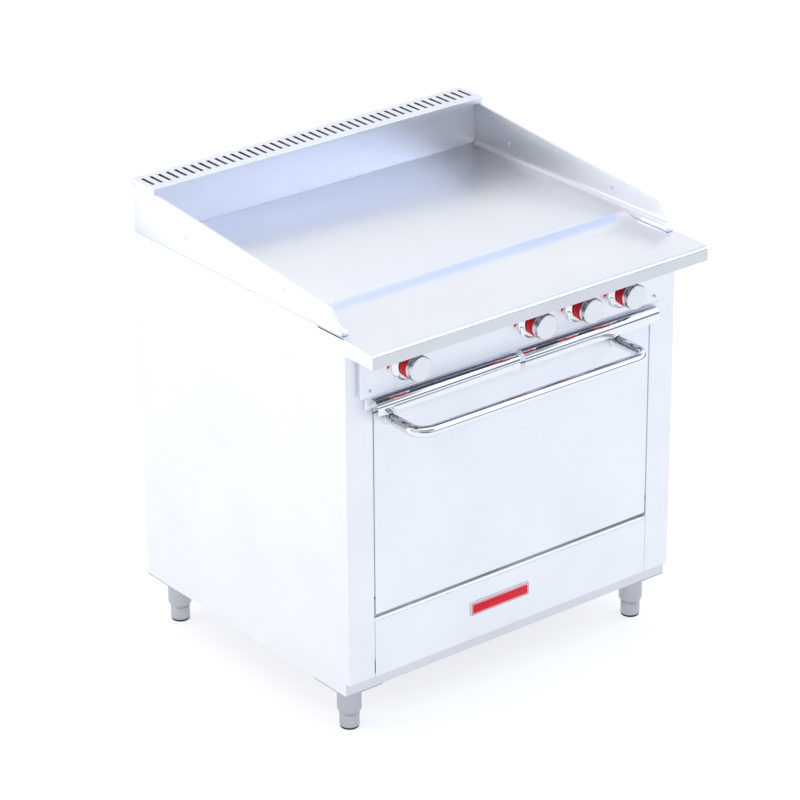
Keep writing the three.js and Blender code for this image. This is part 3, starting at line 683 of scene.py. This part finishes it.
def shelf():
    """Bent shelf: a fascia in darker steel as painted shade, a rounded nose, a cove up to the griddle, a
    painted-shade sheet under it, two ends.
    """
    low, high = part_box("landing_shelf")
    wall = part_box("side_panel_right")[1].x
    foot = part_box("side_guard_right")[0].x
    flat = high.z - 11.7 * MM
    cove_start = high.y - 52.2 * MM
    nose = [(low.y, low.z), (low.y, flat - 5 * MM), (low.y + 116 * MM, flat), (cove_start, flat)]
    front = rounded(nose, [0, 9 * MM, 120 * MM, 0], steps=10)
    path = [tuple(p) for p in front[:-1]] + cove_arc((cove_start, flat), (high.y, high.z), 14)
    # The overhang is wider than the cabinet, so the path has a point where the overhang ends.
    edge = FACE - 2 * MM
    cut = next(i for i, p in enumerate(path) if p[0] > edge)
    before, after = Vector(path[cut - 1]), Vector(path[cut])
    path.insert(cut, tuple(before.lerp(after, (edge - before.x) / (after.x - before.x))))
    slack = 0.3 * MM
    across = [low.x, -wall, -foot + slack, foot - slack, wall, high.x]

    def keep(point, level):
        return point.x < edge or abs(level) < (foot if point.x > cove_start - 0.1 * MM else wall)

    top = folded("shelf_sheet", path[::-1], "x", across, keep, 2 * MM)
    finish_piece(top, "satin_top", CABINET, ("landing_shelf",))
    # Faces that look to the front get the darker steel: painted shade on the fascia.
    top.data.materials.append(M["fascia_painted_shade"])
    for face in top.data.polygons:
        if face.normal.y < -FACING:
            face.material_index = 1
    # A dark sheet under the shelf's overhang stands in for the shade there: painted shade, which the hood
    # reflects as a dark band.
    dark_front, dark_back = low.y + 6 * MM, FACE - 14 * MM
    dark_sheet = prism("shelf_shade_sheet", [
        (dark_front, flat - 9.5 * MM), (dark_back, flat - 5.5 * MM),
        (dark_back, flat - 3.5 * MM), (dark_front, flat - 7.5 * MM),
    ], "x", low.x + 10 * MM, high.x - 10 * MM)
    bevel(dark_sheet, 0.5 * MM, 2)
    finish_piece(dark_sheet, "painted_shade_sheet", CABINET)
    under = [tuple(p) for p in offset_path(path[:cut + 1], -1 * MM)[-2:0:-1]]
    back, bottom = FACE - 3 * MM, low.z + 0.5 * MM
    cap = [(back, flat - 3 * MM), *under, (low.y + 1 * MM, bottom), (back, bottom)]
    inset, depth = 0.4 * MM, 2.4 * MM
    for name, x0, x1 in (
        ("left", low.x + inset, low.x + depth), ("right", high.x - depth, high.x - inset),
    ):
        end = prism(f"shelf_end_{name}", cap, "x", x0, x1)
        finish_piece(end, "satin_top", CABINET)


def griddle():
    plate = block("griddle_ground_plate", *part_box("griddle_plate"))
    bevel(plate, 1.2 * MM)
    finish_piece(plate, "griddle_steel", CABINET, ("griddle_plate",))


def bolt(name, direction, place):
    """Low dome head whose top faces along X in the given direction."""
    radius = 4.6 * MM
    head = lathe(name, [
        (0, 0.42 * radius), (0.45 * radius, 0.36 * radius), (0.78 * radius, 0.22 * radius),
        (0.96 * radius, 0.08 * radius), (radius, 0), (0, 0),
    ], (0, 0, 0), "x", 28)
    head.data.transform(Matrix.Scale(direction, 4, (1, 0, 0)))
    if direction < 0:
        head.data.flip_normals()
    head.data.transform(Matrix.Translation(place))
    finish_piece(head, "turned", CABINET)


def guards():
    """Folded side guards with a coved foot, a sloping rounded top and a steep front, and their bolts."""
    griddle_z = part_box("griddle_plate")[1].z
    vent_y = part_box("vent_cover")[0].y
    thickness, top_spare, end_spare, sink = 7 * MM, 20 * MM, 10 * MM, 0.02 * MM
    cove_steps = 10
    beyond = 0.6
    for name, side in SIDES:
        node = f"side_guard_{name}"
        low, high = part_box(node)
        outer = max(abs(low.x), abs(high.x))
        foot = min(abs(low.x), abs(high.x))
        inner = outer - thickness
        cove = inner - foot
        section = [(foot, low.z)]
        for k in range(cove_steps + 1):
            turn = math.pi / 2 * k / cove_steps
            section.append((foot + cove * math.sin(turn), griddle_z + cove * (1 - math.cos(turn))))
        section += [(inner, high.z + top_spare), (outer, high.z + top_spare), (outer, low.z)]
        section = [(side * x, z) for x, z in section]
        obj = prism(node + "_folded", section, "y", low.y - end_spare, high.y + end_spare)
        bottom = low.z - 5 * MM
        corner = (FACE + 56 * MM, high.z - 54.5 * MM)
        outline = rounded(
            [(low.y - 0.5 * MM, bottom), (high.y, bottom), (high.y, high.z), (vent_y, high.z), corner,
             (low.y, low.z + 6 * MM)],
            [0, 0, 0, 0, 16 * MM, 0], steps=10, closed=True,
        )
        combine(obj, prism(node + "_outline", outline, "x", -beyond, beyond), "INTERSECT")
        bevel(obj, 1.1 * MM, 2, angle=50)
        finish_piece(obj, "satin_side", CABINET, (node,))
        for back in (207, 561):
            for way, x in (("in", inner - sink), ("out", outer + sink)):
                place = (side * x, FACE + back * MM, griddle_z + 31 * MM)
                bolt(f"guard_bolt_{name}_{way}_{back}", side if way == "out" else -side, place)
        wall_low, wall_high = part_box(f"side_panel_{name}")
        wall = max(abs(wall_low.x), abs(wall_high.x))
        bolt(f"side_bolt_{name}", side, (side * wall, wall_high.y - 60 * MM, wall_high.z - 7 * MM))


def vent():
    """Bent cover with a row of slots, closed at its ends, over a baffle."""
    low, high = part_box("vent_cover")
    slot_start, slot_end = low.y + 23 * MM, low.y + 69 * MM
    count, pitch, half = 42, 21.64 * MM, 4 * MM
    path = rounded(
        [(low.y, low.z), (low.y, high.z), (high.y, high.z), (high.y, low.z)], 2.4 * MM, steps=5,
    )
    middle = len(path) // 2
    path[middle:middle] = [Vector((slot_start, high.z)), Vector((slot_end, high.z))]
    centres = [(k - (count - 1) / 2) * pitch for k in range(count)]
    edges = [c + s * half for c in centres for s in (-1, 1)]
    across = [low.x + 0.3 * MM, *edges, high.x - 0.3 * MM]

    def keep(point, level):
        in_slot = any(abs(level - c) < half for c in centres)
        return not (in_slot and slot_start < point.x < slot_end and point.y > high.z - 1 * MM)

    cover = folded("vent_folded", path[::-1], "x", across, keep, 2 * MM)
    inset = 1.2 * MM
    front, back, bottom, top = low.y + inset, high.y - inset, low.z + 0.4 * MM, high.z - inset
    outline = rounded([(front, bottom), (front, top), (back, top), (back, bottom)], inset, steps=3)
    ends = [prism("vent_end", outline, "x", x, x + 2 * MM) for x in (low.x, high.x - 2 * MM)]
    finish_piece(cover, "satin_side", CABINET, ("vent_cover",))
    caps = joined("vent_ends", ends)
    bevel(caps, 0.5 * MM, 2)
    finish_piece(caps, "satin_side", CABINET)
    baffle_low, baffle_high = low.z + 3 * MM, high.z - 4.2 * MM
    outline = rounded([
        (slot_start - 8 * MM, baffle_low), (slot_start - 4 * MM, baffle_high),
        (slot_end + 8 * MM, baffle_high), (slot_end + 13 * MM, baffle_low),
    ], 2 * MM, steps=3)
    reach = centres[-1] + 8 * MM
    baffle = sheet("flue_baffle", outline[::-1], 1 * MM, "x", -reach, reach)
    finish_piece(baffle, "leg_steel", CABINET)


# ---------------------------------------------------------------- controls


def screw_head(name, radius):
    """Pan head facing -Y with a cross recess."""
    head = lathe(name, [
        (0, -0.62 * radius), (0.55 * radius, -0.55 * radius), (0.86 * radius, -0.36 * radius),
        (radius, -0.08 * radius), (radius, 0.0), (0, 0.0),
    ], (0, 0, 0), "y", 28)
    reach, half = 0.55 * radius, 0.11 * radius
    for turn in (0, math.pi / 2):
        arm = block("arm", (-reach, -radius, -half), (reach, -0.3 * radius, half))
        arm.data.transform(Matrix.Rotation(turn, 4, "Y"))
        combine(head, arm, "DIFFERENCE")
    return head


def panel():
    """Control panel with a screw near each end."""
    low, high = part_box("control_panel")
    outline = [(low.y, low.z), (low.y, high.z), (high.y, high.z), (high.y, low.z + 12 * MM)]
    obj = pan("panel_pan", outline, "x", low.x, high.x, 1.6 * MM, 1.2 * MM, (0, 1, 0))
    finish_piece(obj, "satin_front", CABINET, ("control_panel",))
    for name, x in (("left", -402), ("right", 387)):
        screw = screw_head(f"panel_screw_{name}", 4.2 * MM)
        screw.data.transform(Matrix.Translation((x * MM, low.y, low.z + 14 * MM)))
        finish_piece(screw, "turned", CABINET)


# Radius, and distance from the control panel's face (out is negative), in mm.
BEZEL_PROFILE = [
    (15, -10.6), (30.2, -11.5), (31.6, -11.1), (33.2, -9.4), (37.2, -4.6), (38.4, -3.2), (40.4, -2.4),
    (40.9, -1.6), (40.9, -0.3), (15, -0.3),
]
GRIP_PROFILE = [
    (0, -31.6), (25.4, -31.6), (28.4, -31.2), (28.9, -29.8), (28.9, -16.2), (28.4, -14.6), (26.4, -12.1),
    (4, -12.1), (4, 21.9), (0, 21.9),
]
CAP_PROFILE = [
    (0, -49.5), (24.8, -49.7), (26.8, -49.3), (28.0, -48.2), (28.4, -46.6), (28.4, -39.2), (27.6, -38.4),
    (26.6, -37.6), (26.6, -35.6), (28.0, -34.6), (28.4, -33.6), (28.0, -32.2), (26.0, -31.8), (0, -31.8),
]


def flutes(turn, radius, along):
    """Shallow flutes round the outer part of the grip."""
    if radius < 25 * MM or along > -14.5 * MM:
        return radius
    count, depth = 36, 0.55 * MM
    return radius - depth * (0.5 + 0.5 * math.cos(count * turn))


def knobs():
    """Bezel, red grip with fine flutes and a steel cap for each control, with a red index on the panel."""
    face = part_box("control_panel")[0].y
    for name in ("oven", "griddle_left", "griddle_middle", "griddle_right"):
        low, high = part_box(f"knob_{name}")
        x, z = (low.x + high.x) / 2, (low.z + high.z) / 2
        centre = (x, face, z)
        ring = lathe(f"bezel_turned_{name}", mm(BEZEL_PROFILE), centre, "y", 96)
        finish_piece(ring, "chrome", CABINET, (f"bezel_{name}",))
        grip = lathe(f"knob_grip_{name}", mm(GRIP_PROFILE), centre, "y", 288, flutes)
        finish_piece(grip, "red", f"knob_{name}", (f"knob_{name}",), angle=40)
        cap = lathe(f"knob_cap_{name}", mm(CAP_PROFILE), centre, "y", 96)
        finish_piece(cap, "turned", f"knob_{name}")
        arrow = [(x - 52 * MM, z + 7 * MM), (x - 43 * MM, z + 3 * MM), (x - 51 * MM, z - 3 * MM)]
        outline = rounded(arrow, 0.8 * MM, 3, closed=True)
        index = prism(f"index_{name}", outline, "y", face - 0.25 * MM, face + 0.1 * MM)
        finish_piece(index, "red", CABINET)


def deflectors():
    """Polished sheets, bent over like a quarter-round hood under the control panel, on their rail."""
    for name, _ in SIDES:
        node = f"heat_deflector_{name}"
        low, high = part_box(node)
        path = rounded(
            [(high.y, high.z - 15 * MM), (high.y, high.z), (low.y, high.z), (low.y, low.z)],
            [0, 1.6 * MM, 20 * MM, 0], steps=18,
        )
        obj = sheet(node + "_bent", path, 1.2 * MM, "x", low.x, high.x)
        bevel(obj, 0.3 * MM, 2)
        finish_piece(obj, "chrome", CABINET, (node,))
    rail = block("rail_strip", *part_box("deflector_rail"))
    bevel(rail, 0.5 * MM, 2)
    finish_piece(rail, "satin_front", CABINET, ("deflector_rail",))


# ---------------------------------------------------------------- door and oven


def door():
    """Outer pan, inner liner and the round seal on the liner."""
    low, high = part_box("door_panel")
    outline = [(low.y, low.z), (low.y, high.z), (high.y, high.z), (high.y, low.z)]
    obj = pan("door_pan", outline, "x", low.x, high.x, 2.2 * MM, SKIN, (0, 1, 0))
    finish_piece(obj, "satin_front", DOOR, ("door_panel",))
    low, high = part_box("door_liner")
    liner = block("door_liner_pressed", low, high)
    bevel(liner, 0.5 * MM, 2)
    finish_piece(liner, "enamel", DOOR, ("door_liner",))
    inset, y = 26 * MM, high.y + 1.2 * MM
    inner = rectangle(low.x + inset, low.z + inset, high.x - inset, high.z - inset)
    loop = rounded([(x, y, z) for x, z in inner], 14 * MM, 6, closed=True)
    finish_piece(tube("door_seal", loop, 1.6 * MM, 12, closed=True), "rubber", DOOR)


def handle():
    """Round bar bent back to the door at both ends, with a collar at each."""
    low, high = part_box("door_handle")
    r = (high.z - low.z) / 2
    z = (low.z + high.z) / 2
    left, right, bar = low.x + r, high.x - r, low.y + r
    path = rounded(
        [(left, high.y, z), (left, bar, z), (right, bar, z), (right, high.y, z)], 34 * MM, steps=14,
    )
    collar = [
        (r, -7 * MM), (r + 1.2 * MM, -6.4 * MM), (r + 1.6 * MM, -4 * MM), (r + 3.4 * MM, -1.2 * MM),
        (r + 3.6 * MM, 0), (r, 0),
    ]
    parts = [tube("bar", path, r, 48)]
    parts += [lathe("collar", collar, (x, high.y, z), "y", 48) for x in (left, right)]
    finish_piece(joined("handle_bar", parts), "chrome", DOOR, ("door_handle",))


def rack():
    """Wire rack: a loop of heavy wire, with thin wires front to back on two braces."""
    low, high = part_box("oven_rack")
    r, gaps = 4 * MM, 27
    z = (low.z + high.z) / 2
    x, y0, y1 = high.x - r, low.y + r, high.y - r
    loop = rounded([(-x, y0, z), (x, y0, z), (x, y1, z), (-x, y1, z)], 18 * MM, 6, closed=True)
    parts = [tube("loop", loop, r, 16, closed=True)]
    wire_z, brace_z = z + 0.4 * MM, z - 1.8 * MM
    for k in range(1, gaps):
        at = -x + 2 * x * k / gaps
        parts.append(tube("wire", [(at, y0, wire_z), (at, y1, wire_z)], 1.9 * MM, 10))
    third = (y1 - y0) / 3
    for y in (y0 + third, y1 - third):
        parts.append(tube("brace", [(-x, y, brace_z), (x, y, brace_z)], 2.1 * MM, 10))
    finish_piece(joined("rack_wires", parts), "wire", "rack", ("oven_rack",))


def supply():
    """Inlet pipe with a threaded end."""
    low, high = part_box("gas_inlet_pipe")
    manifold_low, manifold_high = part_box("gas_manifold")
    r = (high.z - low.z) / 2
    z = (low.z + high.z) / 2
    x, y = high.x - r, (manifold_low.y + manifold_high.y) / 2
    end, length, pitch, root = high.y, 22 * MM, 2, r - 0.9 * MM
    path = rounded([(low.x, y, z), (x, y, z), (x, end - length, z)], 26 * MM, steps=10)
    parts = [tube("run", path, r)]
    thread = [(0, end)]
    for k in range(11):
        ridge = end - k * pitch * MM
        thread += [(root, ridge - 0.2 * MM), (r - 0.05 * MM, ridge - 1 * MM)]
    thread += [(root, end - length), (0, end - length)]
    parts.append(lathe("thread", thread[::-1], (x, 0, z), "y", 48))
    finish_piece(joined("inlet_pipe_threaded", parts), "pipe", CABINET, ("gas_inlet_pipe",))


def back_screws():
    """A row of screws along the top and bottom of the back panel."""
    low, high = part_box("back_panel")
    margin, gaps = 20 * MM, 4
    for k in range(gaps + 1):
        at = low.x + margin + (high.x - low.x - 2 * margin) * k / gaps
        for z, row in ((low.z + 18 * MM, "low"), (high.z - 30 * MM, "high")):
            screw = screw_head(f"back_screw_{row}_{k}", 4 * MM)
            screw.data.transform(Matrix.Rotation(math.pi, 4, "Z"))
            screw.data.transform(Matrix.Translation((at, high.y, z)))
            finish_piece(screw, "leg_steel", CABINET)


cabinet_wraps()
kick()
door_seals()
badge()
legs()
shelf()
griddle()
guards()
vent()
panel()
knobs()
deflectors()
door()
handle()
rack()
supply()
back_screws()

paint("satin_side", "splash_back")
paint("satin_front", "front_header")
paint("satin_base", "base_frame")
paint("galvanised", "back_panel", "flue_box")
paint("brass", "oven_thermostat", "valve_griddle_left", "valve_griddle_middle", "valve_griddle_right")
paint("enamel", "oven_side_left", "oven_side_right", "oven_top", "oven_floor", "oven_back")
paint("wire", "rack_guide_left", "rack_guide_right")
paint("leg_steel", "hinge_bracket_left", "hinge_bracket_right")
paint("pipe", "gas_manifold")
paint("iron", "griddle_burner_left", "griddle_burner_middle", "griddle_burner_right", "oven_burner")
paint("wool", "door_insulation")

# ---------------------------------------------------------------- floor, light and camera

# The room's colour, and a tint round each direction, from where it starts to where it is full (cosines).
ROOM_COLOUR = (0.98, 0.99, 1.02)
ROOM_STRENGTH = 1.22
ROOM_TINTS = (
    ((0.62, -0.68, 0.44), 0.60, 0.97, (1.36, 1.54, 1.96)),
    ((-0.52, -0.68, 0.52), 0.72, 0.97, (0.44, 0.45, 0.48)),
    ((0.10, -0.72, 0.69), 0.88, 0.97, (0.34, 0.36, 0.40)),
    ((-0.53, 0.76, 0.32), 0.72, 0.97, (0.70, 0.71, 0.74)),
    ((-0.92, 0.05, 0.40), 0.78, 0.98, (0.62, 0.63, 0.65)),
    ((0.56, 0.11, 0.82), 0.86, 0.97, (0.58, 0.68, 0.95)),
    ((0.56, 0.71, 0.42), 0.90, 0.99, (0.86, 0.87, 0.89)),
    ((0.0, 0.0, 1.0), 0.88, 1.0, (0.62, 0.64, 0.68)),
)
# A dark band low in the room in front, as (height, colour).
BAND_DIRECTION = (0.45, -0.89, 0)
BAND_START, BAND_FULL = -0.1, 0.4
BAND_LOW = (0.02, (0.12, 0.13, 0.15))
BAND_MIDDLE = (0.20, (0.14, 0.15, 0.18))
BAND_END = (0.28, (1, 1, 1))
FLOOR_GLOW = 0.785
FLOOR_HALF = 30.0


def backdrop():
    """Wide pale floor that also glows evenly, so that it reads as white with hardly any shadow."""
    nodes = Nodes("floor")
    clouds = nodes.noise(size=1.5)
    nodes.to("Base Color", nodes.mixed(clouds, (0.32, 0.32, 0.33), (0.36, 0.36, 0.37)))
    nodes.to("Roughness", nodes.ranged(clouds, 0, 1, 0.7, 0.85))
    nodes.set(Emission_Color=(0.96, 0.98, 1.0, 1), Emission_Strength=FLOOR_GLOW, Specular_IOR_Level=0.1)
    outline = rectangle(-FLOOR_HALF, -FLOOR_HALF, FLOOR_HALF, FLOOR_HALF)
    floor = new_object("floor", [(x, y, 0) for x, y in outline], [[0, 1, 2, 3]])
    floor.data.materials.append(nodes.material)


def area_light(name, place, target, size, power):
    """Square light of a size in metres and a power in watts."""
    data = bpy.data.lights.new(name, "AREA")
    data.shape = "RECTANGLE"
    data.size, data.size_y = size, size
    data.energy = power
    light = bpy.data.objects.new(name, data)
    light.location = place
    light.rotation_mode = "QUATERNION"
    light.rotation_quaternion = (Vector(target) - Vector(place)).to_track_quat("-Z", "Y")
    SCENE.collection.objects.link(light)


def reach(tree, toward, direction, start, end):
    """From 0 to 1 as the view direction's cosine with a direction goes from start to end."""
    dot = tree.nodes.new("ShaderNodeVectorMath")
    dot.operation = "DOT_PRODUCT"
    dot.inputs[1].default_value = direction
    tree.links.new(toward, dot.inputs[0])
    smooth = tree.nodes.new("ShaderNodeMapRange")
    smooth.interpolation_type = "SMOOTHSTEP"
    smooth.inputs["From Min"].default_value = start
    smooth.inputs["From Max"].default_value = end
    tree.links.new(dot.outputs["Value"], smooth.inputs["Value"])
    return smooth.outputs["Result"]


def horizon_band(tree, toward):
    """The dark band's colour by height, white above it."""
    height = tree.nodes.new("ShaderNodeSeparateXYZ")
    tree.links.new(toward, height.inputs[0])
    band = tree.nodes.new("ShaderNodeValToRGB")
    tree.links.new(height.outputs["Z"], band.inputs["Fac"])
    steps = band.color_ramp.elements
    for step, (place, colour) in zip(steps, (BAND_LOW, BAND_END)):
        step.position = place
        step.color = (*colour, 1)
    steps.new(BAND_MIDDLE[0]).color = (*BAND_MIDDLE[1], 1)
    return band.outputs["Color"]


def studio():
    """White room, bluish towards the front right and greyer behind the camera, with a soft key light."""
    world = bpy.data.worlds.new("studio")
    SCENE.world = world
    world.use_nodes = True
    tree = world.node_tree
    background = tree.nodes["Background"]
    toward = tree.nodes.new("ShaderNodeTexCoord").outputs["Generated"]
    colour = ROOM_COLOUR
    for direction, start, end, tint in ROOM_TINTS:
        near = reach(tree, toward, Vector(direction).normalized(), start, end)
        colour = colour_mix(tree, near, colour, tint)
    ahead = reach(tree, toward, BAND_DIRECTION, BAND_START, BAND_FULL)
    colour = colour_mix(tree, ahead, colour, horizon_band(tree, toward), "MULTIPLY")
    tree.links.new(colour, background.inputs["Color"])
    background.inputs["Strength"].default_value = ROOM_STRENGTH
    area_light("key_left", (-3.4, 2.0, 1.4), (-1.6, 1.0, 0.0), 2.2, 40)
    area_light("top_soft", (0.4, -0.4, 6.0), (0, -0.6, 0), 6.0, 50)
    SCENE.view_settings.view_transform = "Standard"
    SCENE.view_settings.look = "None"


# The camera's place, from the door's face in Y, and its angles in degrees.
CAMERA_X, CAMERA_FROM_FACE, CAMERA_Z = -4.4666, -5.2644, 3.8759
CAMERA_YAW, CAMERA_PITCH, CAMERA_ROLL = -38.263, -24.814, -0.405
FOCAL_LENGTH, SENSOR_WIDTH = 159.65, 36
CLIP_NEAR, CLIP_FAR = 0.1, 200


def camera():
    """From the front left, above, with a long lens."""
    yaw, pitch, roll = (math.radians(a) for a in (CAMERA_YAW, CAMERA_PITCH, CAMERA_ROLL))
    forward = Vector((-math.sin(yaw) * math.cos(pitch), math.cos(yaw) * math.cos(pitch), math.sin(pitch)))
    level = Vector((math.cos(yaw), math.sin(yaw), 0))
    upright = level.cross(forward)
    right = level * math.cos(roll) + upright * math.sin(roll)
    up = upright * math.cos(roll) - level * math.sin(roll)
    data = bpy.data.cameras.new("view")
    data.lens = FOCAL_LENGTH
    data.sensor_width = SENSOR_WIDTH
    data.clip_start, data.clip_end = CLIP_NEAR, CLIP_FAR
    obj = bpy.data.objects.new("view", data)
    place = Vector((CAMERA_X, FACE + CAMERA_FROM_FACE, CAMERA_Z))
    turn = Matrix((right, up, -forward)).transposed().to_4x4()
    obj.matrix_world = Matrix.Translation(place) @ turn
    SCENE.collection.objects.link(obj)
    SCENE.camera = obj


backdrop()
studio()
camera()
